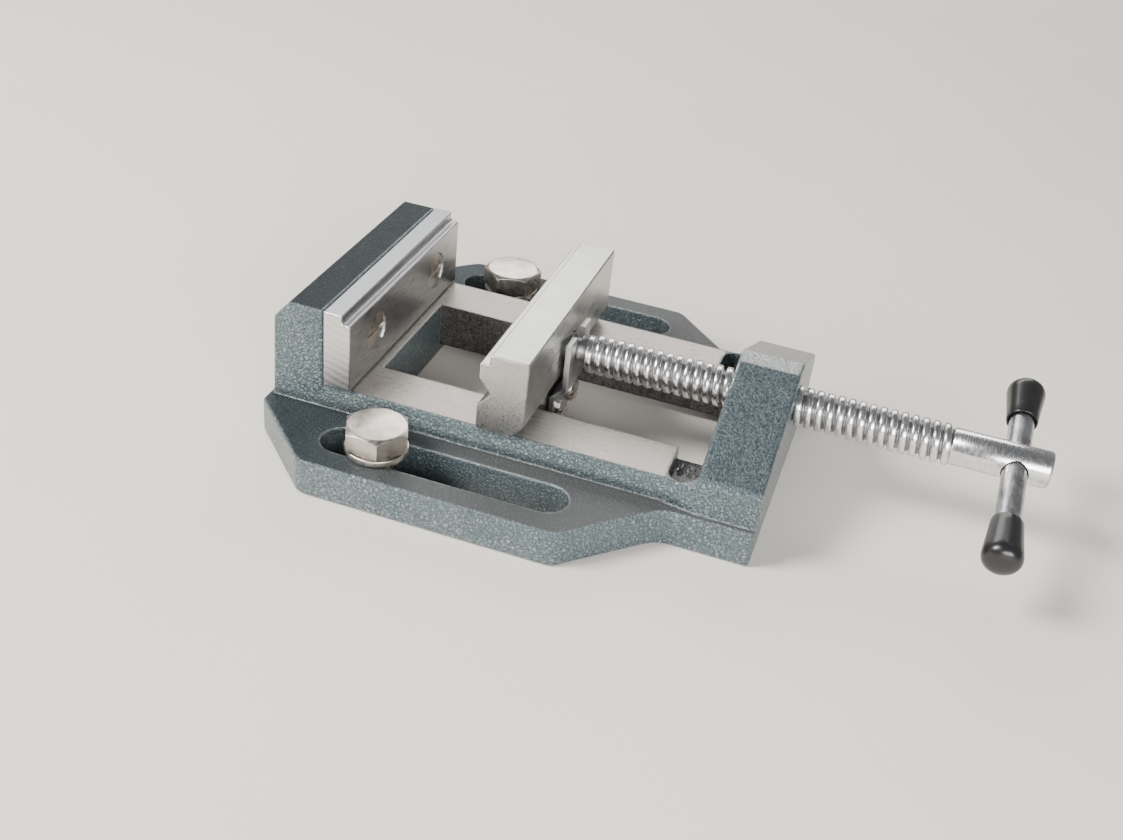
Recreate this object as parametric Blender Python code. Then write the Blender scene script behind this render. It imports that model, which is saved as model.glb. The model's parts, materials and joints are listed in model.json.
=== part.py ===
"""A drill press vise: cast body with slotted feet, jaws, lead screw and tommy bar.

Lengths below are in millimetres and become metres where a mesh is made.
X runs along the screw from the fixed jaw's working face, Y across the jaws,
Z up from the underside. The jaws stand open by REST_OPENING.
"""

import math

import bmesh
import bpy
from mathutils import Matrix, Vector

MM = 0.001
GAP = 0.3
THIN_GAP = 0.1

# Body casting.
BACK_X = -25.3
FRONT_X = 122.0
FLANGE_TOP = 11.1
FLANGE_HALF = 67.8
BACK_HALF = 44.4
FRONT_HALF = 44.6
BED_TOP = 17.3
BED_HALF = 38.6
BED_FOOT_HALF = 41.0
BED_FOOT_Z = 9.4
SLOT_CENTRE_Y = 53.7
SLOT_WIDTH = 12.9
SLOT_START_X = -1.5
SLOT_END_X = 72.2
CAST_EDGE = 0.7

# Channel between the rails, the keeper recess below it, and the relief grooves.
CHANNEL_START_X = 2.6
CHANNEL_HALF = 21.9
RECESS_HALF = 27.4
RECESS_TOP = 2.8
RAIL_END_X = 94.3
GROOVE_FLOOR = 13.2
GROOVE_END_Y = 38.6
POCKET_END_X = 116.0
POCKET_HALF = 19.0
POCKET_TOP = 13.0

# Nut bridge.
BRIDGE_X = 103.7
BRIDGE_TOP = 39.0
BRIDGE_TOP_HALF = 3.4
BRIDGE_HALF = 42.5
BRIDGE_SHOULDER = 21.7

# Fixed jaw.
JAW_TOP = 42.0
FIXED_HALF = 39.7
FIXED_FRONT_X = -8.7
PLATE_BACK_X = -8.4
PLATE_BOTTOM = 17.8
PLATE_STEP_X = -2.6
PLATE_LEDGE = 39.2
PLATE_SCREW_Y = 22.0
PLATE_SCREW_Z = 29.0

# Movable jaw, its guide block and the keeper plate under the rails.
REST_OPENING = 39.0
MOVABLE_HALF = 40.0
MOVABLE_BACK_X = 53.3
MOVABLE_BOTTOM = 17.6
MOVABLE_STEP_X = 42.0
MOVABLE_LEDGE = 38.9
VEE_TOP = 34.2
VEE_BOTTOM = 25.4
VEE_APEX_X = 42.6
VEE_APEX_Z = 29.6
GUIDE_START_X = 42.0
GUIDE_END_X = 50.7
GUIDE_HALF = 21.5
GUIDE_BOTTOM = 2.8
GUIDE_TOP = 17.3
KEEPER_HALF = 27.0
KEEPER_BOTTOM = 0.4
KEEPER_TOP = 2.5
KEEPER_END_X = 50.7
KEEPER_SCREW_X = 46.4
KEEPER_SCREW_Y = 12.0

# Lead screw, a 12 mm trapezoidal thread with 3 mm pitch.
SCREW_Z = 27.0
THREAD_R = 6.0
ROOT_R = 4.25
PITCH = 3.0
THREAD_SEGMENTS = 12
TIP_X = 47.6
TIP_R = 4.8
TIP_BORE_R = 5.2
TIP_BORE_X = 47.2
NECK_X = 53.9
NECK_R = 3.5
THREAD_START_X = 56.7
THREAD_END_X = 167.0
THREAD_RUNOUT = 2.6
SHAFT_R = 5.35
SHAFT_END_X = 193.9

# Retainer plate, a joggled fork over the screw's neck.
RETAINER_HALF = 9.5
RETAINER_THICK = 1.8
RETAINER_FOOT_X = 51.0
RETAINER_FORK_X = 54.4
RETAINER_TOP = 33.0
RETAINER_SCREW_Y = 5.5
RETAINER_SCREW_Z = 9.2

# Tommy bar through the screw's shaft, dipping towards -Y.
BAR_X = 184.5
BAR_DIP = math.radians(11.2)
BAR_R = 3.5
BAR_HOLE_R = 3.8
CAP_LENGTH = 16.0
CAP_NEAR_START = 24.5
CAP_FAR_START = -17.0
CAP_WALL = 1.3
CAP_MOUTH_R = 4.3
CAP_R = 5.5

# Hold-down bolts, M10, with spring washers.
BOLT_X = 15.4
BOLT_R = 5.0
BOLT_FLATS = 17.0
BOLT_HEAD_HEIGHT = 6.4
BOLT_END_Z = 1.0
BOLT_TURN = {"near": -6, "far": 17}
WASHER_OUTER_R = 9.05
WASHER_INNER_R = 5.2
WASHER_THICK = 2.2
WASHER_SPLIT = math.radians(14)
WASHER_TURN = math.radians(118)


def clear_scene():
    """Removes every object of the startup scene."""
    for obj in list(bpy.data.objects):
        bpy.data.objects.remove(obj, do_unlink=True)


def make_material(name, colour, roughness, metallic):
    """A Principled material with one colour."""
    material = bpy.data.materials.new(name)
    material.use_nodes = True
    shader = material.node_tree.nodes["Principled BSDF"]
    shader.inputs["Base Color"].default_value = (*colour, 1.0)
    shader.inputs["Roughness"].default_value = roughness
    shader.inputs["Metallic"].default_value = metallic
    return material


def make_object(name, bm, material=None, origin=(0, 0, 0)):
    """Turns a bmesh in millimetres into an object in metres with the given origin."""
    bmesh.ops.recalc_face_normals(bm, faces=bm.faces)
    centre = Vector(origin)
    for vert in bm.verts:
        vert.co = (vert.co - centre) * MM
    mesh = bpy.data.meshes.new(name)
    bm.to_mesh(mesh)
    bm.free()
    obj = bpy.data.objects.new(name, mesh)
    obj.location = centre * MM
    bpy.context.scene.collection.objects.link(obj)
    if material:
        mesh.materials.append(material)
    return obj


def extrusion(outline, axis, start, end):
    """A prism: the outline lies in the two other axes, taken in X, Y, Z order."""
    bm = bmesh.new()
    rings = []
    for level in (start, end):
        ring = []
        for a, b in outline:
            point = {"X": (level, a, b), "Y": (a, level, b), "Z": (a, b, level)}[axis]
            ring.append(bm.verts.new(point))
        rings.append(ring)
    bm.faces.new(rings[0])
    bm.faces.new(rings[1])
    count = len(outline)
    for i in range(count):
        j = (i + 1) % count
        bm.faces.new((rings[0][i], rings[0][j], rings[1][j], rings[1][i]))
    return bm


def box(low, high):
    """A block between two corners."""
    outline = [(low[0], low[1]), (high[0], low[1]), (high[0], high[1]), (low[0], high[1])]
    return extrusion(outline, "Z", low[2], high[2])


def hull(points):
    """The convex solid around the points."""
    bm = bmesh.new()
    verts = [bm.verts.new(point) for point in points]
    found = bmesh.ops.convex_hull(bm, input=verts)
    inside = [item for item in found["geom_interior"] if isinstance(item, bmesh.types.BMVert)]
    bmesh.ops.delete(bm, geom=inside, context="VERTS")
    return bm


def lathe(profile, segments, to_world):
    """A solid of revolution from (along, radius) points, closed at both ends on the axis."""
    bm = bmesh.new()
    rings = []
    for along, radius in profile:
        ring = []
        for k in range(segments):
            angle = 2 * math.pi * k / segments
            local = Vector((along, radius * math.cos(angle), radius * math.sin(angle)))
            ring.append(bm.verts.new(to_world @ local))
        rings.append(ring)
    for low, high in zip(rings, rings[1:]):
        for k in range(segments):
            n = (k + 1) % segments
            bm.faces.new((low[k], low[n], high[n], high[k]))
    bm.faces.new(rings[0])
    bm.faces.new(rings[-1])
    return bm


def frame_to(direction, point):
    """A matrix that turns the X axis into a direction and moves the origin to a point."""
    turn = Vector((1, 0, 0)).rotation_difference(Vector(direction)).to_matrix().to_4x4()
    return Matrix.Translation(Vector(point)) @ turn


def rounded(corners, most_turn=math.radians(20)):
    """An outline from (x, y, radius) corners, each radius drawn as an arc."""
    outline = []
    count = len(corners)
    for i in range(count):
        here = Vector(corners[i][:2])
        radius = corners[i][2]
        if not radius:
            outline.append(tuple(here))
            continue
        before = (Vector(corners[i - 1][:2]) - here).normalized()
        after = (Vector(corners[(i + 1) % count][:2]) - here).normalized()
        half = before.angle(after) / 2
        reach = radius / math.tan(half)
        centre = here + (before + after).normalized() * (radius / math.sin(half))
        first = here + before * reach - centre
        turn = math.pi - 2 * half
        side = 1 if before.cross(after) < 0 else -1
        steps = max(1, math.ceil(turn / most_turn))
        for k in range(steps + 1):
            angle = side * turn * k / steps
            spoke = Matrix.Rotation(angle, 2) @ first
            outline.append(tuple(centre + spoke))
    return outline


def mirrored(half):
    """Both halves of an outline of (x, y, radius) corners that is symmetric about y = 0."""
    return half + [(x, -y, r) for x, y, r in reversed(half)]


def stadium(start, end, across, width, steps=8):
    """The outline of a round-ended slot along X."""
    radius = width / 2
    outline = []
    for centre, base in ((end - radius, -math.pi / 2), (start + radius, math.pi / 2)):
        for k in range(steps + 1):
            angle = base + math.pi * k / steps
            outline.append((centre + radius * math.cos(angle), across + radius * math.sin(angle)))
    return outline


def boolean(target, other, operation):
    """Adds an exact Boolean modifier and hides its other object."""
    modifier = target.modifiers.new(other.name, "BOOLEAN")
    modifier.operation = operation
    modifier.solver = "EXACT"
    modifier.object = other
    other.hide_render = True
    other.display_type = "WIRE"
    return modifier


def bevel(obj, width, segments=2, angle=30):
    """Rounds the edges sharper than an angle."""
    modifier = obj.modifiers.new("edges", "BEVEL")
    modifier.width = width * MM
    modifier.segments = segments
    modifier.limit_method = "ANGLE"
    modifier.angle_limit = math.radians(angle)
    modifier.harden_normals = False


def join(target, name, bm, edge=0.0):
    """Adds a shape to an object, its own edges rounded first."""
    other = make_object(name, bm)
    if edge:
        bevel(other, edge)
    boolean(target, other, "UNION")


def cut(target, name, bm):
    """Cuts a shape from an object."""
    boolean(target, make_object(name, bm), "DIFFERENCE")


def smooth(obj):
    """Shades a round piece smooth."""
    for polygon in obj.data.polygons:
        polygon.use_smooth = True


def ridge_radius(along, crest, root, start, end):
    """The crest radius near a thread's ends, where the ridge runs out over half a turn."""
    reach = min(along - start, end - along) / (PITCH / 2)
    return root + (crest - root) * max(0.0, min(1.0, reach))


def thread(start, end, crest, root, crest_width, base_width):
    """A right-hand threaded rod along X at the screw's height, with its ridge run out at both ends."""
    bm = bmesh.new()
    segments = THREAD_SEGMENTS
    turns = int((end - start) / PITCH) - 1
    shape = (
        (-base_width / 2, False),
        (-crest_width / 2, True),
        (crest_width / 2, True),
        (base_width / 2, False),
    )
    columns = []
    for k in range(segments):
        angle = 2 * math.pi * k / segments
        column = []
        for turn in range(turns + (0 if k else 1)):
            middle = start + PITCH * (0.7 + turn + k / segments)
            for offset, top in shape:
                along = middle + offset
                high = ridge_radius(middle, crest, root, start + 0.7 * PITCH, end - 0.7 * PITCH)
                radius = high if top else root
                place = (along, radius * math.cos(angle), SCREW_Z + radius * math.sin(angle))
                column.append(bm.verts.new(place))
        columns.append(column)
    ends = []
    for along in (start, end):
        ring = []
        for k in range(segments):
            angle = 2 * math.pi * k / segments
            place = (along, root * math.cos(angle), SCREW_Z + root * math.sin(angle))
            ring.append(bm.verts.new(place))
        ends.append(ring)
    step = len(shape)
    for k in range(segments - 1):
        low = columns[k]
        high = columns[k + 1]
        for i in range(min(len(low), len(high)) - 1):
            bm.faces.new((low[i], low[i + 1], high[i + 1], high[i]))
    last = columns[-1]
    first = columns[0][step:]
    for i in range(len(last) - 1):
        bm.faces.new((last[i], last[i + 1], first[i + 1], first[i]))
    near, far = ends
    for k in range(segments - 1):
        bm.faces.new((near[k], near[k + 1], columns[k + 1][0], columns[k][0]))
    bm.faces.new([near[-1], near[0], *columns[0][: step + 1], last[0]])
    bm.faces.new([far[0], far[1], columns[1][-1], *columns[0][-step - 1 :]])
    for k in range(1, segments - 1):
        bm.faces.new((far[k], far[k + 1], columns[k + 1][-1], columns[k][-1]))
    bm.faces.new((far[-1], far[0], columns[0][-1], last[-1]))
    bm.faces.new(near)
    bm.faces.new(far)
    return bm


def build_body(paint):
    """The casting: slotted flange, bed, fixed jaw and nut bridge, then everything machined into it."""
    flange = mirrored(
        [
            (BACK_X, BACK_HALF, 1.5),
            (-2.0, FLANGE_HALF, 5.0),
            (73.0, FLANGE_HALF, 5.0),
            (96.2, FRONT_HALF, 10.0),
            (FRONT_X, FRONT_HALF, 1.2),
        ]
    )
    body = make_object("vise_body", extrusion(rounded(flange), "Z", 0.0, FLANGE_TOP), paint)
    bevel(body, CAST_EDGE)
    bed = [
        (-BED_FOOT_HALF, BED_FOOT_Z),
        (-BED_HALF, BED_TOP),
        (BED_HALF, BED_TOP),
        (BED_FOOT_HALF, BED_FOOT_Z),
    ]
    join(body, "bed", extrusion(bed, "X", BACK_X + 1.2, BRIDGE_X + 2.0), 0.4)
    fixed_jaw = [
        (BACK_X + 0.7, FLANGE_TOP - 3.0),
        (BACK_X + 0.8, FLANGE_TOP),
        (-23.9, 36.5),
        (-19.2, JAW_TOP),
        (FIXED_FRONT_X, JAW_TOP),
        (FIXED_FRONT_X, BED_TOP - 3.0),
    ]
    join(body, "fixed_jaw", extrusion(fixed_jaw, "Y", -FIXED_HALF, FIXED_HALF), CAST_EDGE)
    bridge = rounded(
        [
            (-BRIDGE_HALF, FLANGE_TOP - 3.0, 0),
            (-BRIDGE_HALF, BRIDGE_SHOULDER, 2.5),
            (-BRIDGE_TOP_HALF, BRIDGE_TOP, 2.0),
            (BRIDGE_TOP_HALF, BRIDGE_TOP, 2.0),
            (BRIDGE_HALF, BRIDGE_SHOULDER, 2.5),
            (BRIDGE_HALF, FLANGE_TOP - 3.0, 0),
        ]
    )
    join(body, "bridge", extrusion(bridge, "X", BRIDGE_X, FRONT_X), CAST_EDGE)
    for side, word in ((-1, "near"), (1, "far")):
        flare = hull(
            [
                (93.0, side * (BED_FOOT_HALF - 0.6), BED_FOOT_Z),
                (98.0, side * BED_HALF, BED_TOP - 0.4),
                (105.0, side * BRIDGE_HALF, BED_FOOT_Z),
                (105.0, side * BRIDGE_HALF, BRIDGE_SHOULDER - 2.5),
                (105.0, side * (BED_HALF - 4.0), BRIDGE_SHOULDER - 2.5),
                (94.0, side * (BED_HALF - 4.0), BED_FOOT_Z),
                (98.0, side * (BED_HALF - 4.0), BED_TOP - 0.4),
            ]
        )
        join(body, "flare_" + word, flare)
    channel = [
        (-RECESS_HALF, -1.0),
        (RECESS_HALF, -1.0),
        (RECESS_HALF, RECESS_TOP),
        (CHANNEL_HALF, RECESS_TOP),
        (CHANNEL_HALF, BED_TOP + 3.0),
        (-CHANNEL_HALF, BED_TOP + 3.0),
        (-CHANNEL_HALF, RECESS_TOP),
        (-RECESS_HALF, RECESS_TOP),
    ]
    cut(body, "channel", extrusion(channel, "X", CHANNEL_START_X, BRIDGE_X))
    pocket = box((BRIDGE_X - 2.0, -POCKET_HALF, -1.0), (POCKET_END_X, POCKET_HALF, POCKET_TOP))
    cut(body, "pocket", pocket)
    groove_width = BRIDGE_X - RAIL_END_X
    groove = [
        (across, along)
        for along, across in stadium(-GROOVE_END_Y, GROOVE_END_Y, (RAIL_END_X + BRIDGE_X) / 2, groove_width)
    ]
    cut(body, "relief_groove", extrusion(groove, "Z", GROOVE_FLOOR, BED_TOP + 3.0))
    for side, word in ((-1, "near"), (1, "far")):
        slot = stadium(SLOT_START_X, SLOT_END_X, side * SLOT_CENTRE_Y, SLOT_WIDTH)
        cut(body, "slot_" + word, extrusion(slot, "Z", -1.0, FLANGE_TOP + 2.0))
        hole = lathe([(-10.5, 3.3), (1.0, 3.3)], 16, frame_to((1, 0, 0), (FIXED_FRONT_X, side * PLATE_SCREW_Y, PLATE_SCREW_Z)))
        cut(body, "plate_hole_" + word, hole)
    turns = math.floor((BRIDGE_X - THREAD_START_X) / PITCH - 1.5)
    start = THREAD_START_X + turns * PITCH
    tapped = thread(start, FRONT_X + 2 * PITCH, THREAD_R + 0.45, ROOT_R + 0.4, 1.5, 2.5)
    cut(body, "tapped_hole", tapped)
    return body


def build_fixed_plate(steel):
    """The stepped steel plate on the fixed jaw, with two countersunk holes."""
    profile = rounded(
        [
            (PLATE_BACK_X, PLATE_BOTTOM, 0),
            (PLATE_BACK_X, JAW_TOP, 0),
            (PLATE_STEP_X, JAW_TOP, 0),
            (PLATE_STEP_X, PLATE_LEDGE, 0.9),
            (0.0, PLATE_LEDGE, 0),
            (0.0, PLATE_BOTTOM, 0),
        ],
        math.radians(30),
    )
    plate = make_object("fixed_jaw_plate", extrusion(profile, "Y", -FIXED_HALF, FIXED_HALF), steel)
    bevel(plate, 0.3, 1, 50)
    for side, word in ((-1, "near"), (1, "far")):
        sink = [(-10.0, 3.4), (-3.8, 3.4), (-0.4, 6.0), (1.0, 6.0)]
        place = frame_to((1, 0, 0), (0.0, side * PLATE_SCREW_Y, PLATE_SCREW_Z))
        cut(plate, "plate_sink_" + word, lathe(sink, 16, place))


def slotted_screw(name, material, profile, place, slot_low, slot_high):
    """A screw turned from a profile, with a driving slot cut in its head."""
    origin = place @ Vector((0, 0, 0))
    screw = make_object(name, lathe(profile, 16, place), material, origin)
    slot = box(slot_low, slot_high)
    slot.transform(place)
    cut(screw, name + "_slot", slot)
    smooth(screw)


def build_plate_screws(zinc):
    """The countersunk screws that hold the fixed jaw's plate."""
    for side, word in ((-1, "near"), (1, "far")):
        profile = [(-18.0, 2.4), (-17.4, 3.0), (-3.4, 3.0), (-0.75, 5.6), (-0.4, 5.6)]
        place = frame_to((1, 0, 0), (0.0, side * PLATE_SCREW_Y, PLATE_SCREW_Z))
        slotted_screw("jaw_plate_screw_" + word, zinc, profile, place, (-1.5, -7.0, -0.6), (1.0, 7.0, 0.6))


def build_movable_jaw(steel):
    """The ground steel jaw with its step and horizontal vee."""
    profile = [
        (REST_OPENING, MOVABLE_BOTTOM),
        (REST_OPENING, VEE_BOTTOM),
        (VEE_APEX_X, VEE_APEX_Z),
        (REST_OPENING, VEE_TOP),
        (REST_OPENING, MOVABLE_LEDGE),
        (MOVABLE_STEP_X, MOVABLE_LEDGE),
        (MOVABLE_STEP_X, JAW_TOP),
        (MOVABLE_BACK_X, JAW_TOP),
        (MOVABLE_BACK_X, BRIDGE_SHOULDER),
        (MOVABLE_BACK_X - 3.3, MOVABLE_BOTTOM),
    ]
    jaw = make_object("movable_jaw", extrusion(profile, "Y", -MOVABLE_HALF, MOVABLE_HALF), steel)
    bevel(jaw, 0.4, 1, 35)
    seat = frame_to((1, 0, 0), (0.0, 0.0, SCREW_Z))
    cut(jaw, "tip_bore", lathe([(TIP_BORE_X, TIP_BORE_R), (MOVABLE_BACK_X + 2.0, TIP_BORE_R)], 24, seat))
    for side, word in ((-1, "near"), (1, "far")):
        up = frame_to((0, 0, 1), (KEEPER_SCREW_X, side * KEEPER_SCREW_Y, 0.0))
        cut(jaw, "jaw_tap_" + word, lathe([(MOVABLE_BOTTOM - 2.0, 2.8), (26.6, 2.8)], 16, up))


def build_guide(steel, sheet):
    """The guide block in the channel and the keeper plate under the rails, both drilled for two screws."""
    block = make_object(
        "guide_block",
        box((GUIDE_START_X, -GUIDE_HALF, GUIDE_BOTTOM), (GUIDE_END_X, GUIDE_HALF, GUIDE_TOP)),
        steel,
    )
    bevel(block, 0.4, 1, 50)
    keeper = make_object(
        "keeper_plate",
        box((GUIDE_START_X, -KEEPER_HALF, KEEPER_BOTTOM), (KEEPER_END_X, KEEPER_HALF, KEEPER_TOP)),
        sheet,
    )
    bevel(keeper, 0.3, 1, 50)
    for side, word in ((-1, "near"), (1, "far")):
        up = frame_to((0, 0, 1), (KEEPER_SCREW_X, side * KEEPER_SCREW_Y, 0.0))
        cut(block, "block_hole_" + word, lathe([(0.0, 2.8), (20.0, 2.8)], 16, up))
        sink = [(-1.0, 4.7), (0.6, 4.7), (2.5, 2.8), (4.0, 2.8)]
        cut(keeper, "keeper_sink_" + word, lathe(sink, 16, up))
        side_y = side * RETAINER_SCREW_Y
        back = frame_to((1, 0, 0), (0.0, side_y, RETAINER_SCREW_Z))
        cut(block, "retainer_tap_" + word, lathe([(43.6, 2.3), (GUIDE_END_X + 2.0, 2.3)], 16, back))


def build_keeper_screws(zinc):
    """The countersunk screws that run up through keeper plate and guide block into the jaw."""
    for side, word in ((-1, "near"), (1, "far")):
        profile = [(0.6, 4.3), (0.75, 4.3), (2.55, 2.5), (25.8, 2.5), (26.3, 2.0)]
        place = frame_to((0, 0, 1), (KEEPER_SCREW_X, side * KEEPER_SCREW_Y, 0.0))
        slotted_screw("keeper_screw_" + word, zinc, profile, place, (-1.0, -6.0, -0.5), (1.4, 6.0, 0.5))


def build_retainer(sheet):
    """The joggled sheet plate that forks over the screw's neck."""
    thick = RETAINER_THICK
    profile = [
        (RETAINER_FOOT_X, 4.5),
        (RETAINER_FOOT_X, 13.6),
        (RETAINER_FORK_X, 17.6),
        (RETAINER_FORK_X, RETAINER_TOP),
        (RETAINER_FORK_X + thick, RETAINER_TOP),
        (RETAINER_FORK_X + thick, 16.9),
        (RETAINER_FOOT_X + thick, 12.9),
        (RETAINER_FOOT_X + thick, 4.5),
    ]
    plate = make_object("retainer_plate", extrusion(profile, "Y", -RETAINER_HALF, RETAINER_HALF), sheet)
    bevel(plate, 0.25, 1, 50)
    fork = [(3.9, RETAINER_TOP + 5.0), (-3.9, RETAINER_TOP + 5.0)]
    for k in range(9):
        angle = math.pi + math.pi * k / 8
        fork.append((3.9 * math.cos(angle), SCREW_Z + 3.9 * math.sin(angle)))
    cut(plate, "fork_slot", extrusion(fork, "X", 50.0, 60.0))
    for side, word in ((-1, "near"), (1, "far")):
        place = frame_to((1, 0, 0), (0.0, side * RETAINER_SCREW_Y, RETAINER_SCREW_Z))
        cut(plate, "retainer_hole_" + word, lathe([(49.0, 2.3), (56.0, 2.3)], 16, place))


def build_retainer_screws(zinc):
    """The pan-head screws that fasten the retainer plate to the guide block."""
    face = RETAINER_FOOT_X + RETAINER_THICK
    for side, word in ((-1, "near"), (1, "far")):
        profile = [
            (44.2, 1.6),
            (44.7, 2.0),
            (face + THIN_GAP, 2.0),
            (face + THIN_GAP, 3.7),
            (face + 1.5, 3.7),
            (face + 2.4, 2.6),
        ]
        place = frame_to((1, 0, 0), (0.0, side * RETAINER_SCREW_Y, RETAINER_SCREW_Z))
        name = "retainer_screw_" + word
        slotted_screw(name, zinc, profile, place, (face + 1.3, -5.0, -0.5), (face + 5.0, 5.0, 0.5))


def build_lead_screw(bright):
    """The lead screw: tip, neck, thread, and a plain shaft with a cross hole."""
    origin = (NECK_X, 0.0, SCREW_Z)
    bm = thread(THREAD_START_X, THREAD_END_X + THREAD_RUNOUT, THREAD_R, ROOT_R, 1.0, 2.0)
    screw = make_object("lead_screw", bm, bright, origin)
    axis = frame_to((1, 0, 0), (0.0, 0.0, SCREW_Z))
    tip = [
        (TIP_X, TIP_R - 0.8),
        (TIP_X + 0.8, TIP_R),
        (NECK_X, TIP_R),
        (NECK_X, NECK_R),
        (THREAD_START_X + 4.0, NECK_R),
    ]
    join(screw, "screw_tip", lathe(tip, 24, axis))
    shaft = [
        (THREAD_END_X - 5.0, ROOT_R - 0.4),
        (THREAD_END_X - 0.7, ROOT_R - 0.4),
        (THREAD_END_X - 0.5, SHAFT_R),
        (SHAFT_END_X - 0.6, SHAFT_R),
        (SHAFT_END_X, SHAFT_R - 0.6),
    ]
    join(screw, "screw_shaft", lathe(shaft, 24, axis))
    across = frame_to(bar_direction(), (BAR_X, 0.0, SCREW_Z))
    cut(screw, "cross_hole", lathe([(-10.0, BAR_HOLE_R), (10.0, BAR_HOLE_R)], 24, across))
    smooth(screw)


def bar_direction():
    """The way the tommy bar points, towards its lower end."""
    return (0.0, -math.cos(BAR_DIP), -math.sin(BAR_DIP))


def cap_profile(start, way):
    """A cap from its mouth outwards: flared, with a domed end."""
    shape = [
        (0.0, CAP_MOUTH_R),
        (11.2, CAP_R - 0.1),
        (12.6, CAP_R),
        (14.2, CAP_R - 0.5),
        (15.4, CAP_R - 1.8),
        (CAP_LENGTH, CAP_R - 3.9),
    ]
    return [(start + way * along, radius) for along, radius in shape]


def build_bar(zinc, plastic):
    """The tommy bar and the cap on each end."""
    centre = (BAR_X, 0.0, SCREW_Z)
    place = frame_to(bar_direction(), centre)
    inner = CAP_LENGTH - CAP_WALL
    far_end = CAP_FAR_START - inner + GAP
    near_end = CAP_NEAR_START + inner - GAP
    profile = [
        (far_end, BAR_R - 0.5),
        (far_end + 0.5, BAR_R),
        (near_end - 0.5, BAR_R),
        (near_end, BAR_R - 0.5),
    ]
    smooth(make_object("tommy_bar", lathe(profile, 24, place), zinc, centre))
    for word, start, way in (("near", CAP_NEAR_START, 1), ("far", CAP_FAR_START, -1)):
        cap = make_object("bar_cap_" + word, lathe(cap_profile(start, way), 24, place), plastic, centre)
        bore = [(start - way * 2.0, BAR_R + GAP), (start + way * inner, BAR_R + GAP)]
        cut(cap, "cap_bore_" + word, lathe(bore, 24, place))
        smooth(cap)


def build_bolt(side, word, zinc):
    """One hexagon-head hold-down bolt standing in a slot."""
    head_bottom = FLANGE_TOP + WASHER_THICK + 2 * THIN_GAP
    head_top = head_bottom + BOLT_HEAD_HEIGHT
    origin = (BOLT_X, side * SLOT_CENTRE_Y, head_bottom)
    corner = BOLT_FLATS / 2 / math.cos(math.pi / 6)
    hexagon = []
    for k in range(6):
        angle = math.radians(60 * k + BOLT_TURN[word])
        hexagon.append((BOLT_X + corner * math.cos(angle), origin[1] + corner * math.sin(angle)))
    bolt = make_object("hold_down_bolt_" + word, extrusion(hexagon, "Z", head_bottom, head_top), zinc, origin)
    up = frame_to((0, 0, 1), (BOLT_X, origin[1], 0.0))
    flats = BOLT_FLATS / 2
    crown = [
        (head_bottom - 1.0, corner + 1.0),
        (head_top - 1.2, corner + 0.3),
        (head_top, flats - 0.5),
        (head_top + 0.1, flats - 0.7),
    ]
    boolean(bolt, make_object("crown_" + word, lathe(crown, 36, up)), "INTERSECT")
    shank = [(BOLT_END_Z, BOLT_R - 0.8), (BOLT_END_Z + 0.8, BOLT_R), (head_bottom + 2.0, BOLT_R)]
    join(bolt, "shank_" + word, lathe(shank, 20, up))


def build_washer(side, word, zinc):
    """One split spring washer, pressed nearly flat."""
    bottom = FLANGE_TOP + THIN_GAP
    centre = (BOLT_X, side * SLOT_CENTRE_Y, bottom)
    steps = 28
    outline = []
    for radius, order in ((WASHER_OUTER_R, 1), (WASHER_INNER_R, -1)):
        angles = [WASHER_SPLIT / 2 + (2 * math.pi - WASHER_SPLIT) * k / steps for k in range(steps + 1)]
        for angle in angles[::order]:
            lean = 0.12 * (radius - WASHER_INNER_R) / (WASHER_OUTER_R - WASHER_INNER_R)
            turned = angle + lean + WASHER_TURN
            outline.append((centre[0] + radius * math.cos(turned), centre[1] + radius * math.sin(turned)))
    washer = extrusion(outline, "Z", bottom, bottom + WASHER_THICK)
    bevel(make_object("spring_washer_" + word, washer, zinc, centre), 0.25, 1, 50)


def main():
    clear_scene()
    paint = make_material("hammer_paint", (0.10, 0.155, 0.18), 0.42, 0.35)
    plate_steel = make_material("plate_steel", (0.62, 0.62, 0.63), 0.32, 1.0)
    jaw_steel = make_material("jaw_steel", (0.60, 0.60, 0.59), 0.38, 1.0)
    block_steel = make_material("block_steel", (0.20, 0.20, 0.20), 0.45, 1.0)
    sheet = make_material("sheet_steel", (0.68, 0.68, 0.68), 0.28, 1.0)
    bright = make_material("bright_steel", (0.74, 0.74, 0.75), 0.18, 1.0)
    bar_steel = make_material("bar_steel", (0.48, 0.49, 0.50), 0.34, 1.0)
    zinc = make_material("zinc_fastener", (0.66, 0.64, 0.60), 0.28, 1.0)
    plastic = make_material("cap_plastic", (0.012, 0.012, 0.013), 0.35, 0.0)
    build_body(paint)
    build_fixed_plate(plate_steel)
    build_plate_screws(zinc)
    build_movable_jaw(jaw_steel)
    build_guide(block_steel, sheet)
    build_keeper_screws(zinc)
    build_retainer(sheet)
    build_retainer_screws(zinc)
    build_lead_screw(bright)
    build_bar(bar_steel, plastic)
    for side, word in ((-1, "near"), (1, "far")):
        build_bolt(side, word, zinc)
        build_washer(side, word, zinc)


main()
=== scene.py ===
"""The looks of a drill press vise: paint, ground and milled steel, bright thread, black caps.

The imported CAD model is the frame. Round pieces are rebuilt here with finer surfaces,
and every piece gets a node material. Lengths in this script are millimetres unless
they come from the frame, which is in metres.
"""

import json
import math

import bmesh
import bpy
from mathutils import Matrix, Vector


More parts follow.
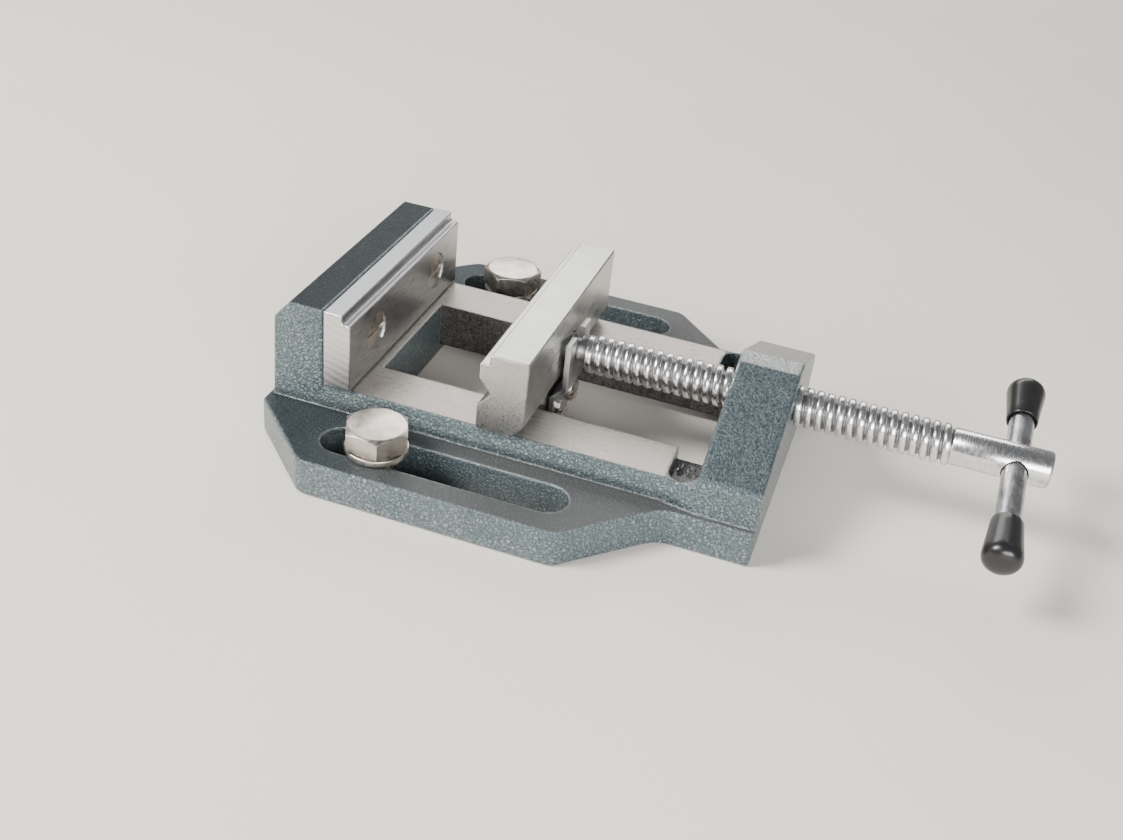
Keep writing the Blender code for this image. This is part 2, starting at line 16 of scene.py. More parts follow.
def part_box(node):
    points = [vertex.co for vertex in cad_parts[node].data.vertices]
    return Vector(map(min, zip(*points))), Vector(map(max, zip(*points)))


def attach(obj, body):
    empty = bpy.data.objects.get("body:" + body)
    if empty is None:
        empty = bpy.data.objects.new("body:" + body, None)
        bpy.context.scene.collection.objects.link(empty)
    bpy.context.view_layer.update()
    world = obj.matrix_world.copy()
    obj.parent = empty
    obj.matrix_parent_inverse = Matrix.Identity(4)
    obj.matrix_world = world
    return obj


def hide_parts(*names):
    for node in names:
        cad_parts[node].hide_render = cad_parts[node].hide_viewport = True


MM = 0.001

# Lead screw, as in the CAD, except that the thread's root is 0.35 mm larger in radius.
PITCH = 3.0
ROOT_R = 4.6
TIP_LENGTH = 6.3
NECK_LENGTH = 2.8
SHAFT_LENGTH = 26.9
THREAD_RUNOUT = 2.6
SHAFT_R = 5.35
NECK_R = 3.5
TIP_R = 4.8
CROSS_HOLE_R = 3.8
CROSS_HOLE_REACH = 9.0

# Floor, in metres.
FLOOR_SIZE = 40.0
FLOOR_GAP = 0.0002

# Bar, bolts and washers, as in the CAD, except that the washers' split is one degree
# narrower. Turns and the split are in degrees.
BAR_R = 3.5
BOLT_FLAT_R = 8.5
BOLT_TURN = {"near": -6.0, "far": 17.0}
WASHER_INNER_R = 5.2
WASHER_SPLIT = 13.0
WASHER_TURN = 118.0

# Camera, in millimetres and degrees. The lens is for a 36 mm wide sensor.
CAMERA_PLACE = (142.73, -333.54, 226.61)
CAMERA_AZIMUTH = 15.04
CAMERA_ELEVATION = 33.18
CAMERA_ROLL = 6.73
CAMERA_LENS = 42.6358
SENSOR_WIDTH = 36.0


# ---------------------------------------------------------------- node helpers


class Shader:
    """A node material being wired up, with its coordinates in millimetres of the row frame."""

    def __init__(self, name):
        self.material = bpy.data.materials.new(name)
        self.material.use_nodes = True
        self.tree = self.material.node_tree
        self.tree.nodes.clear()
        self.output = self.add("ShaderNodeOutputMaterial")
        self.principled = self.add("ShaderNodeBsdfPrincipled")
        self.tree.links.new(self.principled.outputs[0], self.output.inputs[0])
        source = self.add("ShaderNodeTexCoord").outputs["Object"]
        self.place = self.vector("SCALE", source, scale=1000.0)
        self.geometry = self.add("ShaderNodeNewGeometry")
        turned = self.add("ShaderNodeVectorTransform")
        turned.vector_type = "NORMAL"
        turned.convert_from = "WORLD"
        turned.convert_to = "OBJECT"
        self.link(self.geometry.outputs["True Normal"], turned.inputs[0])
        self.facing = turned.outputs[0]

    def add(self, kind):
        return self.tree.nodes.new(kind)

    def link(self, source, target):
        self.tree.links.new(source, target)

    def put(self, value, target):
        """A number, a colour or another node's output goes into an input."""
        if isinstance(value, bpy.types.NodeSocket):
            self.link(value, target)
        elif isinstance(value, (tuple, list)) and len(value) == 3 and target.type == "RGBA":
            target.default_value = (*value, 1.0)
        else:
            target.default_value = value

    def math(self, operation, first, second=0.0, third=0.0, clamp=False):
        node = self.add("ShaderNodeMath")
        node.operation = operation
        node.use_clamp = clamp
        for value, target in zip((first, second, third), node.inputs):
            self.put(value, target)
        return node.outputs[0]

    def vector(self, operation, first, second=None, scale=None):
        node = self.add("ShaderNodeVectorMath")
        node.operation = operation
        self.put(first, node.inputs[0])
        if second is not None:
            self.put(second, node.inputs[1])
        if scale is not None:
            self.put(scale, node.inputs["Scale"])
        return node.outputs["Value" if operation in ("DOT_PRODUCT", "LENGTH") else "Vector"]

    def split(self, source):
        node = self.add("ShaderNodeSeparateXYZ")
        self.link(source, node.inputs[0])
        return node.outputs

    def stretched(self, amounts, turn=(0, 0, 0)):
        """The coordinates scaled along each axis and then turned."""
        node = self.add("ShaderNodeMapping")
        node.vector_type = "POINT"
        self.link(self.place, node.inputs["Vector"])
        node.inputs["Rotation"].default_value = turn
        node.inputs["Scale"].default_value = amounts
        return node.outputs[0]

    def noise(self, scale, detail=3.0, rough=0.55, where=None, distortion=0.0):
        node = self.add("ShaderNodeTexNoise")
        self.link(where or self.place, node.inputs["Vector"])
        node.inputs["Scale"].default_value = scale
        node.inputs["Detail"].default_value = detail
        node.inputs["Roughness"].default_value = rough
        node.inputs["Distortion"].default_value = distortion
        return node.outputs["Fac"]

    def veins(self, scale, where):
        """Distance to the nearest border of a pattern of cells."""
        node = self.add("ShaderNodeTexVoronoi")
        node.feature = "DISTANCE_TO_EDGE"
        self.link(where, node.inputs["Vector"])
        node.inputs["Scale"].default_value = scale
        return node.outputs["Distance"]

    def ramp(self, source, low, high, start=0.0, end=1.0):
        """Maps a range onto another, held at both ends."""
        node = self.add("ShaderNodeMapRange")
        node.interpolation_type = "SMOOTHSTEP"
        names = ("Value", "From Min", "From Max", "To Min", "To Max")
        for value, name in zip((source, low, high, start, end), names):
            self.put(value, node.inputs[name])
        return node.outputs[0]

    def mix(self, share, first, second):
        """Two colours mixed."""
        node = self.add("ShaderNodeMix")
        node.data_type = "RGBA"
        self.put(share, node.inputs[0])
        self.put(first, node.inputs[6])
        self.put(second, node.inputs[7])
        return node.outputs[2]

    def blend(self, share, first, second):
        """Two numbers mixed."""
        node = self.add("ShaderNodeMix")
        node.data_type = "FLOAT"
        self.put(share, node.inputs[0])
        self.put(first, node.inputs[2])
        self.put(second, node.inputs[3])
        return node.outputs[0]

    def rounded_normal(self, radius):
        """The normal with edges rounded over a radius in millimetres."""
        node = self.add("ShaderNodeBevel")
        node.samples = 6
        node.inputs["Radius"].default_value = radius * MM
        return node.outputs[0]

    def edge(self, normal, low=0.02, high=0.25):
        """How far the rounded normal turns away from the flat one: 1 on an edge."""
        dot = self.vector("DOT_PRODUCT", normal, self.geometry.outputs["True Normal"])
        away = self.math("SUBTRACT", 1.0, dot)
        return self.ramp(away, low, high)

    def bump(self, height, depth, normal=None, strength=1.0):
        """Turns a height of 0 to 1 into a normal, depth in millimetres."""
        node = self.add("ShaderNodeBump")
        self.put(strength, node.inputs["Strength"])
        node.inputs["Distance"].default_value = depth * MM
        self.link(height, node.inputs["Height"])
        if normal is not None:
            self.link(normal, node.inputs["Normal"])
        return node.outputs[0]

    def finish(self, colour, roughness, metallic, normal=None, coat=0.0, specular=None):
        inputs = self.principled.inputs
        self.put(colour, inputs["Base Color"])
        self.put(roughness, inputs["Roughness"])
        self.put(metallic, inputs["Metallic"])
        self.put(coat, inputs["Coat Weight"])
        if specular is not None:
            self.put(specular, inputs["Specular IOR Level"])
        if normal is not None:
            self.link(normal, inputs["Normal"])
        return self.material


# ---------------------------------------------------------------- materials


def between(shader, value, low, high, soft=0.25):
    """1 where a coordinate lies between two values, with soft ends in millimetres."""
    rise = shader.ramp(value, low - soft, low + soft)
    fall = shader.ramp(value, high - soft, high + soft, 1.0, 0.0)
    return shader.math("MULTIPLY", rise, fall)


def all_of(shader, *masks):
    result = masks[0]
    for mask in masks[1:]:
        result = shader.math("MULTIPLY", result, mask)
    return result


def body_material(zone):
    """Blue-grey hammertone paint over cast iron, with the machined faces left bare."""
    s = Shader("hammer_paint")
    x, y, z = s.split(s.place)
    nx, ny, nz = s.split(s.facing)
    side = s.math("ABSOLUTE", y)
    sideways = s.math("ABSOLUTE", ny)
    upward = s.ramp(nz, 0.9, 0.97)

    warp = s.add("ShaderNodeTexNoise")
    s.link(s.place, warp.inputs["Vector"])
    warp.inputs["Scale"].default_value = 0.55
    warp.inputs["Detail"].default_value = 3.0
    bent = s.vector("ADD", s.place, s.vector("SCALE", warp.outputs["Color"], scale=2.4))
    border = s.veins(0.80, bent)
    domes = s.ramp(border, 0.0, 0.26)
    vein = s.ramp(border, 0.01, 0.12, 1.0, 0.0)
    pits = s.noise(1.25, 4.0, 0.6)
    drift = s.noise(0.03, 3.0)
    base = s.mix(s.ramp(drift, 0.35, 0.65), (0.100, 0.138, 0.150), (0.130, 0.172, 0.184))
    flecks = s.math("MULTIPLY", domes, s.ramp(pits, 0.44, 0.66))
    paint = s.mix(s.math("MULTIPLY", flecks, 0.70), base, (0.36, 0.41, 0.42))
    gaps = s.math("MULTIPLY", vein, s.ramp(pits, 0.30, 0.60, 0.90, 0.30))
    paint = s.mix(gaps, paint, (0.030, 0.046, 0.053))

    # Slot walls and the base of the bed's wall are painted darker: painted shade where they lie in the dark.
    low = s.ramp(z, zone["flange_top"] - 1.2, zone["flange_top"], 1.0, 0.0)
    slot = all_of(
        s,
        low,
        between(s, side, zone["slot_y"] - 6.7, zone["slot_y"] + 6.7, 0.1),
        between(s, x, zone["slot_start"] - 0.1, zone["slot_end"] + 0.1, 0.1),
        s.ramp(nz, 0.3, 0.6, 1.0, 0.0),
    )
    paint = s.mix(s.math("MULTIPLY", slot, 0.6), paint, (0.030, 0.046, 0.053))
    # Painted shade in the fillet at the base of the bed's wall.
    foot_shade = all_of(s, between(s, side, 39.6, 41.8, 0.7), between(s, z, 9.0, 13.2, 1.0))
    paint = s.mix(s.math("MULTIPLY", foot_shade, 0.75), paint, (0.018, 0.027, 0.031))

    # The tops of the fixed jaw and the flanges, and the bridge's slope, are darker and smoother.
    top = all_of(s, upward, s.ramp(z, zone["jaw_top"] - 1.0, zone["jaw_top"] - 0.4))
    paint = s.mix(s.math("MULTIPLY", top, 0.93), paint, (0.008, 0.012, 0.015))
    deck = all_of(s, upward, between(s, z, zone["flange_top"] - 0.5, zone["flange_top"] + 0.5))
    # The flanges' tops run from near-black at the fixed jaw's end, which is painted shade, to a rubbed
    # brown-grey further along, which is wear.
    worn_and_shaded_deck = s.mix(s.ramp(x, 0.0, 50.0), (0.014, 0.020, 0.024), (0.080, 0.080, 0.077))
    paint = s.mix(s.math("MULTIPLY", deck, 0.82), paint, worn_and_shaded_deck)

    slant = all_of(
        s,
        s.ramp(x, zone["bridge_x"] - 0.5, zone["bridge_x"]),
        s.ramp(z, zone["bridge_shoulder"], zone["bridge_shoulder"] + 0.8),
        s.ramp(nz, 0.5, 0.7),
    )
    speckle = s.mix(s.ramp(pits, 0.35, 0.65), (0.030, 0.045, 0.052), (0.074, 0.098, 0.107))
    paint = s.mix(s.math("MULTIPLY", slant, 0.85), paint, speckle)
    smoother = s.math("MAXIMUM", s.math("MAXIMUM", top, deck), slant)

    # The chamfer at the back of the fixed jaw's top is worn.
    brow = all_of(
        s,
        s.ramp(nx, -0.95, -0.85),
        s.ramp(nx, -0.35, -0.25, 1.0, 0.0),
        s.ramp(nz, 0.4, 0.6),
        s.ramp(z, 34.0, 36.0),
    )
    rounded = s.rounded_normal(1.3)
    edge = s.edge(rounded, 0.05, 0.22)
    chips = s.ramp(s.noise(0.4, 4.0, 0.7), 0.40, 0.58)
    worn = s.math("MULTIPLY", edge, s.math("ADD", s.math("MULTIPLY", chips, 0.45), 0.35))
    worn = s.math("MAXIMUM", worn, s.math("MULTIPLY", brow, s.ramp(chips, 0.0, 1.0, 0.25, 0.8)))

    rails = all_of(
        s,
        upward,
        between(s, z, zone["rail_top"] - 0.4, zone["rail_top"] + 0.4, 0.05),
        between(s, side, -1.0, zone["rail_half"], 0.15),
        between(s, x, zone["plate_x"] - 1.0, zone["rail_end"], 0.1),
    )
    strip = s.ramp(z, zone["bridge_top"] - 0.35, zone["bridge_top"] - 0.1)
    strip = all_of(s, strip, upward, s.ramp(x, zone["bridge_x"] - 1.0, zone["bridge_x"]))
    inner = all_of(
        s,
        s.ramp(sideways, 0.9, 0.97),
        between(s, side, zone["channel_half"] - 0.5, zone["channel_half"] + 0.5, 0.05),
        s.ramp(z, zone["rail_top"] + 0.05, zone["rail_top"] + 0.1, 1.0, 0.0),
    )
    groove = all_of(
        s,
        between(s, x, zone["rail_end"] - 0.2, zone["bridge_x"] + 0.2, 0.1),
        between(s, z, zone["groove_floor"] - 0.6, zone["groove_floor"] + 0.6, 0.3),
        between(s, side, -1.0, zone["groove_end"] - 0.2, 0.1),
    )
    under = s.ramp(z, 0.05, 0.2, 1.0, 0.0)

    grain = s.noise(1.0, 4.0, 0.6, s.stretched((0.25, 2.2, 1.0)))
    pores = s.ramp(s.noise(1.3, 2.0, 0.5), 0.64, 0.70)
    blotch = s.noise(0.08, 3.0)
    ground = s.mix(s.ramp(grain, 0.3, 0.7), (0.33, 0.305, 0.28), (0.48, 0.45, 0.415))
    ground = s.mix(s.math("MULTIPLY", pores, 0.7), ground, (0.10, 0.085, 0.075))
    ground = s.mix(s.ramp(blotch, 0.45, 0.7, 0.0, 0.30), ground, (0.33, 0.30, 0.27))
    # The channel's inner walls are bare cast iron, painted very dark as well: painted shade down in the
    # channel.
    cast = s.mix(s.ramp(pits, 0.35, 0.65), (0.032, 0.028, 0.026), (0.105, 0.098, 0.092))

    colour = s.mix(worn, paint, (0.50, 0.53, 0.54))
    crown = s.mix(s.ramp(pits, 0.3, 0.7), (0.30, 0.33, 0.33), (0.46, 0.48, 0.47))
    # The relief groove is painted dark: painted shade down in the recess.
    groove_shade = s.mix(s.ramp(pits, 0.35, 0.65), (0.035, 0.034, 0.033), (0.16, 0.155, 0.15))
    colour = s.mix(strip, colour, crown)
    colour = s.mix(groove, colour, groove_shade)
    colour = s.mix(inner, colour, cast)
    colour = s.mix(under, colour, (0.36, 0.35, 0.33))
    colour = s.mix(rails, colour, ground)
    bare = s.math("MAXIMUM", s.math("MAXIMUM", rails, under), s.math("MAXIMUM", worn, strip), clamp=True)
    rough_paint = s.ramp(pits, 0.3, 0.7, 0.30, 0.46)
    rough = s.blend(bare, rough_paint, s.ramp(grain, 0.3, 0.7, 0.34, 0.5))
    rough = s.blend(inner, rough, 0.62)
    rough = s.blend(groove, rough, 0.6)
    metal = s.blend(bare, 0.38, 0.85)
    metal = s.blend(inner, metal, 0.3)

    lumpy = s.math("ADD", domes, s.math("MULTIPLY", pits, 0.6))
    ground_relief = s.math("MULTIPLY", grain, 0.12)
    relief = s.blend(s.math("MAXIMUM", rails, under), lumpy, ground_relief)
    depth = s.math("SUBTRACT", 1.0, s.math("MULTIPLY", smoother, 0.6))
    normal = s.bump(relief, 0.30, rounded, depth)
    dull = s.math("MAXIMUM", s.math("MAXIMUM", top, deck), bare)
    rough = s.blend(deck, rough, 0.52)
    coat = s.blend(dull, 0.3, 0.0)
    metal = s.blend(top, metal, 0.0)
    rough = s.blend(top, rough, 0.5)
    specular = s.blend(top, 0.5, 0.18)
    return s.finish(colour, rough, metal, normal, coat, specular)


def ground_steel(name, dark, light, stretch, rough=(0.26, 0.42), turn=(0, 0, 0), depth=0.03):
    """Ground or milled steel with fine marks along one direction and brighter edges."""
    s = Shader(name)
    where = s.stretched(stretch, turn)
    marks = s.noise(1.0, 4.0, 0.65, where)
    cloud = s.noise(0.07, 3.0)
    specks = s.ramp(s.noise(1.6, 2.0, 0.5), 0.70, 0.77)
    rounded = s.rounded_normal(0.35)
    edge = s.edge(rounded)
    colour = s.mix(s.ramp(marks, 0.3, 0.7), dark, light)
    colour = s.mix(s.ramp(cloud, 0.4, 0.7, 0.0, 0.25), colour, tuple(0.72 * c for c in dark))
    colour = s.mix(s.math("MULTIPLY", specks, 0.45), colour, tuple(0.35 * c for c in dark))
    colour = s.mix(s.math("MULTIPLY", edge, 0.5), colour, (0.88, 0.88, 0.87))
    roughness = s.ramp(marks, 0.3, 0.7, rough[0], rough[1])
    return s.finish(colour, roughness, 1.0, s.bump(marks, depth, rounded))


def milled_plate():
    """The fixed jaw's plate: slanting milling marks on the ends, straight ones on the face."""
    s = Shader("plate_steel")
    _, ny, nz = s.split(s.facing)
    ends = s.ramp(s.math("ABSOLUTE", ny), 0.6, 0.9)
    slant = s.stretched((1.0, 0.1, 2.4), (0, math.radians(-32), 0))
    wave = s.add("ShaderNodeTexWave")
    wave.bands_direction = "Z"
    s.link(slant, wave.inputs["Vector"])
    wave.inputs["Scale"].default_value = 0.07
    wave.inputs["Distortion"].default_value = 2.2
    wave.inputs["Detail"].default_value = 2.0
    brushed = s.noise(1.0, 4.0, 0.6, s.stretched((2.0, 0.16, 2.6)))
    fine = s.noise(1.0, 3.0, 0.6, s.stretched((1.2, 0.1, 5.0), (0, math.radians(-32), 0)))
    swept = s.blend(0.78, wave.outputs["Fac"], fine)
    marks = s.blend(ends, brushed, swept)
    rounded = s.rounded_normal(0.35)
    edge = s.edge(rounded)
    colour = s.mix(s.ramp(marks, 0.25, 0.75), (0.34, 0.345, 0.35), (0.62, 0.625, 0.63))
    # The ends are painted lighter towards the top: a painted highlight.
    bright = s.math("MULTIPLY", ends, s.ramp(s.split(s.place)[2], 22.0, 36.0))
    colour = s.mix(s.math("MULTIPLY", bright, 0.5), colour, (0.85, 0.85, 0.84))
    # Upward faces are painted darker and bluer: a painted reflection.
    level = s.ramp(nz, 0.8, 0.95)
    colour = s.mix(s.math("MULTIPLY", level, 0.75), colour, (0.20, 0.215, 0.225))
    colour = s.mix(s.math("MULTIPLY", edge, 0.5), colour, (0.88, 0.88, 0.87))
    roughness = s.ramp(marks, 0.2, 0.8, 0.26, 0.38)
    return s.finish(colour, roughness, 1.0, s.bump(marks, 0.05, rounded))


def thread_steel(axis_z):
    """Bright rolled steel, painted dark in patches down in the thread's roots as painted shade."""
    s = Shader("bright_steel")
    _, y, z = s.split(s.place)
    high = s.math("SUBTRACT", z, axis_z / MM)
    radius = s.math("SQRT", s.math("ADD", s.math("MULTIPLY", y, y), s.math("MULTIPLY", high, high)))
    root_shade_patches = s.noise(0.5, 4.0, 0.65)
    root_shade = s.ramp(radius, ROOT_R + 0.05, ROOT_R + 0.8, 1.0, 0.0)
    root_shade = s.math("MULTIPLY", root_shade, s.ramp(root_shade_patches, 0.3, 0.65, 0.55, 0.9))
    scratches = s.noise(1.0, 3.0, 0.6, s.stretched((3.0, 0.5, 0.5)))
    colour = s.mix(s.ramp(scratches, 0.3, 0.7), (0.66, 0.66, 0.67), (0.84, 0.84, 0.85))
    # Painted shade: the thread's roots are painted dark.
    colour = s.mix(root_shade, colour, (0.17, 0.16, 0.15))
    roughness = s.math("ADD", s.ramp(scratches, 0.3, 0.7, 0.18, 0.30), s.math("MULTIPLY", root_shade, 0.25))
    return s.finish(colour, roughness, 1.0, s.bump(scratches, 0.006))


def plated_steel(name, dark, light, rough=(0.22, 0.36), stretch=(0.5, 0.5, 0.5)):
    """Zinc plated steel: cloudy, with light scratches and small dents."""
    s = Shader(name)
    cloud = s.noise(0.25, 4.0, 0.6)
    scratches = s.noise(1.0, 4.0, 0.7, s.stretched(stretch))
    rounded = s.rounded_normal(0.3)
    edge = s.edge(rounded)
    colour = s.mix(s.ramp(cloud, 0.35, 0.65), dark, light)
    colour = s.mix(s.ramp(scratches, 0.6, 0.75, 0.0, 0.25), colour, tuple(0.5 * c for c in dark))
    colour = s.mix(s.math("MULTIPLY", edge, 0.4), colour, (0.86, 0.85, 0.82))
    roughness = s.ramp(scratches, 0.3, 0.7, rough[0], rough[1])
    return s.finish(colour, roughness, 1.0, s.bump(scratches, 0.02, rounded))


def moulded_black():
    """Black moulded plastic with a slight orange peel and faint scuffs."""
    s = Shader("cap_plastic")
    peel = s.noise(1.1, 3.0, 0.5)
    scuff = s.ramp(s.noise(0.45, 5.0, 0.7), 0.55, 0.75)
    colour = s.mix(s.math("MULTIPLY", scuff, 0.5), (0.010, 0.010, 0.011), (0.045, 0.045, 0.047))
    roughness = s.ramp(scuff, 0.0, 1.0, 0.30, 0.48)
    return s.finish(colour, roughness, 0.0, s.bump(peel, 0.03), 0.15)


def floor_material():
    """A plain pale matt floor."""
    s = Shader("floor")
    cloud = s.noise(0.004, 3.0)
    colour = s.mix(s.ramp(cloud, 0.3, 0.7), (0.82, 0.765, 0.70), (0.86, 0.805, 0.74))
    return s.finish(colour, 0.7, 0.0)


# ---------------------------------------------------------------- shapes


def new_object(name, bm, material, body, node):
    """A finished piece that stands for a CAD node and rides on its body. The bmesh is in metres."""
    bmesh.ops.recalc_face_normals(bm, faces=bm.faces)
    mesh = bpy.data.meshes.new(name)
    bm.to_mesh(mesh)
    bm.free()
    mesh.materials.append(material)
    piece = bpy.data.objects.new(name, mesh)
    bpy.context.scene.collection.objects.link(piece)
    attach(piece, body)
    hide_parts(node)
    return piece


def shade_by_angle(mesh, degrees):
    """Smooth shading, sharp where faces meet at more than an angle."""
    for polygon in mesh.polygons:
        polygon.use_smooth = True
    mesh.set_sharp_from_angle(angle=math.radians(degrees))


def axis_frame(direction, point):
    """A matrix that turns X into a direction and moves the origin to a point."""
    turn = Vector((1, 0, 0)).rotation_difference(Vector(direction)).to_matrix().to_4x4()
    return Matrix.Translation(Vector(point)) @ turn


def lathe(bm, profile, place, segments=64):
    """Adds a solid of revolution from (along, radius) points in millimetres. Radius 0 closes an end."""
    rings = []
    for along, radius in profile:
        if radius <= 0:
            rings.append([bm.verts.new(place @ Vector((along * MM, 0, 0)))])
            continue
        ring = []
        for k in range(segments):
            angle = 2 * math.pi * k / segments
            local = Vector((along, radius * math.cos(angle), radius * math.sin(angle))) * MM
            ring.append(bm.verts.new(place @ local))
        rings.append(ring)
    for low, high in zip(rings, rings[1:]):
        for k in range(segments):
            n = (k + 1) % segments
            corners = [low[k % len(low)], low[n % len(low)], high[n % len(high)], high[k % len(high)]]
            bm.faces.new(list(dict.fromkeys(corners)))
    return bm


def ridge_shape():
    """One turn's profile of a trapezoidal thread with rounded crests: (offset, share of height)."""
    half = ((1.36, 0.0), (1.24, 0.08), (1.12, 0.34), (1.00, 0.66), (0.84, 0.89), (0.58, 0.98))
    return [(-offset, share) for offset, share in half] + [(0.0, 1.0)] + list(reversed(half))


def add_thread(bm, start, end, crest, root, place, segments=72):
    """A right-hand threaded rod between two distances along the axis, run out at both ends."""
    shape = ridge_shape()
    turns = int((end - start) / PITCH) - 1

    def vert(along, radius, angle):
        local = Vector((along, radius * math.cos(angle), radius * math.sin(angle))) * MM
        return bm.verts.new(place @ local)

    columns = []
    for k in range(segments):
        angle = 2 * math.pi * k / segments
        column = []
        for turn in range(turns + (0 if k else 1)):
            middle = start + PITCH * (0.7 + turn + k / segments)
            reach = min(middle - start, end - middle) / PITCH - 0.7
            height = (crest - root) * max(0.0, min(1.0, reach * 2.0))
            for offset, share in shape:
                column.append(vert(middle + offset, root + height * share, angle))
        columns.append(column)
    rings = []
    for along in (start, end):
        rings.append([vert(along, root, 2 * math.pi * k / segments) for k in range(segments)])
    near, far = rings
    step = len(shape)
    for k in range(segments):
        low = columns[k]
        high = columns[k + 1] if k + 1 < segments else columns[0][step:]
        for i in range(min(len(low), len(high)) - 1):
            bm.faces.new((low[i], low[i + 1], high[i + 1], high[i]))
    for k in range(segments - 1):
        bm.faces.new((near[k], near[k + 1], columns[k + 1][0], columns[k][0]))
    bm.faces.new([near[-1], near[0], *columns[0][: step + 1], columns[-1][0]])
    bm.faces.new([far[0], far[1], columns[1][-1], *columns[0][-step - 1 :]])
    for k in range(1, segments - 1):
        bm.faces.new((far[k], far[k + 1], columns[k + 1][-1], columns[k][-1]))
    bm.faces.new((far[-1], far[0], columns[0][-1], columns[-1][-1]))
    bm.faces.new(near)
    bm.faces.new(far)


def hidden_cutter(name, bm):
    """A mesh used only as a Boolean's other side. It is removed once the cut is applied."""
    bmesh.ops.recalc_face_normals(bm, faces=bm.faces)
    mesh = bpy.data.meshes.new(name)
    bm.to_mesh(mesh)
    bm.free()
    cutter = bpy.data.objects.new(name, mesh)
    bpy.context.scene.collection.objects.link(cutter)
    return cutter


def apply_cut(piece, cutter, operation="DIFFERENCE"):
    """Cuts a piece and keeps the result as its own mesh."""
    modifier = piece.modifiers.new("cut", "BOOLEAN")
    modifier.solver = "EXACT"
    modifier.operation = operation
    modifier.object = cutter
    graph = bpy.context.evaluated_depsgraph_get()
    made = bpy.data.meshes.new_from_object(piece.evaluated_get(graph), depsgraph=graph)
    piece.modifiers.clear()
    piece.data = made
    bpy.data.objects.remove(cutter, do_unlink=True)


def extent(node, point, direction):
    """How far a CAD node reaches along a line, in millimetres from the point."""
    line = Vector(direction).normalized()
    reach = [(v.co - Vector(point)).dot(line) / MM for v in frame["nodes"][node].data.vertices]
    return min(reach), max(reach)


# ---------------------------------------------------------------- pieces


def build_lead_screw(material, point, bar_line, bar_point):
    """Tip, neck, rolled thread and plain shaft, with the cross hole for the bar."""
    low, high = extent("lead_screw", point, (1, 0, 0))
    box_low, box_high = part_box("lead_screw")
    crest = (box_high.z - box_low.z) / 2 / MM
    place = axis_frame((1, 0, 0), point)
    neck = low + TIP_LENGTH
    thread_start = neck + NECK_LENGTH
    thread_end = high - SHAFT_LENGTH
    bm = bmesh.new()
    add_thread(bm, thread_start, thread_end + THREAD_RUNOUT, crest, ROOT_R, place)
    lathe(
        bm,
        [
            (low, 0),
            (low, TIP_R - 0.8),
            (low + 0.8, TIP_R),
            (neck, TIP_R),
            (neck, NECK_R),
            (thread_start + 4.0, NECK_R),
            (thread_start + 4.0, 0),
        ],
        place,
    )
    shaft = hidden_cutter(
        "shaft",
        lathe(
            bmesh.new(),
            [
                (thread_end - 5.0, 0),
                (thread_end - 5.0, ROOT_R - 0.4),
                (thread_end - 0.9, ROOT_R - 0.4),
                (thread_end - 0.5, SHAFT_R - 0.25),
                (thread_end - 0.2, SHAFT_R),
                (high - 0.7, SHAFT_R),
                (high - 0.2, SHAFT_R - 0.25),
                (high, SHAFT_R - 0.7),
                (high, 0),
            ],
            place,
        ),
    )
    across = axis_frame(bar_line, bar_point)
    reach = CROSS_HOLE_REACH
    hole = [(-reach, 0), (-reach, CROSS_HOLE_R), (reach, CROSS_HOLE_R), (reach, 0)]
    apply_cut(shaft, hidden_cutter("hole", lathe(bmesh.new(), hole, across, 48)))
    bm.from_mesh(shaft.data)
    bpy.data.objects.remove(shaft, do_unlink=True)
    piece = new_object("lead_screw_turned", bm, material, "screw", "lead_screw")
    shade_by_angle(piece.data, 62)
    return piece


def build_bar(material, point, line):
    """The tommy bar, with small chamfers at its hidden ends."""
    low, high = extent("tommy_bar", point, line)
    profile = [(low, 0), (low, BAR_R - 0.5), (low + 0.5, BAR_R)]
    profile += [(high - 0.5, BAR_R), (high, BAR_R - 0.5), (high, 0)]
    bm = lathe(bmesh.new(), profile, axis_frame(line, point))
    piece = new_object("tommy_bar_rod", bm, material, "bar", "tommy_bar")
    shade_by_angle(piece.data, 40)


def build_cap(word, way, material, point, line):
    """A moulded cap: rolled mouth, flared wall and domed end, hollow for the bar."""
    node = "bar_cap_" + word
    low, high = extent(node, point, line)
    mouth = low if way > 0 else high
    outer = [(0.35, 3.82), (0.08, 3.95), (0.0, 4.12), (0.10, 4.32), (0.45, 4.42)]
    outer += [(3.0, 4.62), (6.0, 4.88), (9.0, 5.18), (11.2, 5.40), (12.2, 5.48)]
    outer += [(13.0, 5.42), (13.8, 5.18), (14.6, 4.66), (15.2, 3.95), (15.65, 2.9), (15.9, 1.6), (16.0, 0)]
    inner = [(14.5, 0), (14.5, 3.8)]
    profile = [(mouth + way * along, radius) for along, radius in inner + outer]
    bm = lathe(bmesh.new(), profile, axis_frame(line, point))
    piece = new_object(node + "_moulded", bm, material, "bar", node)
    shade_by_angle(piece.data, 60)


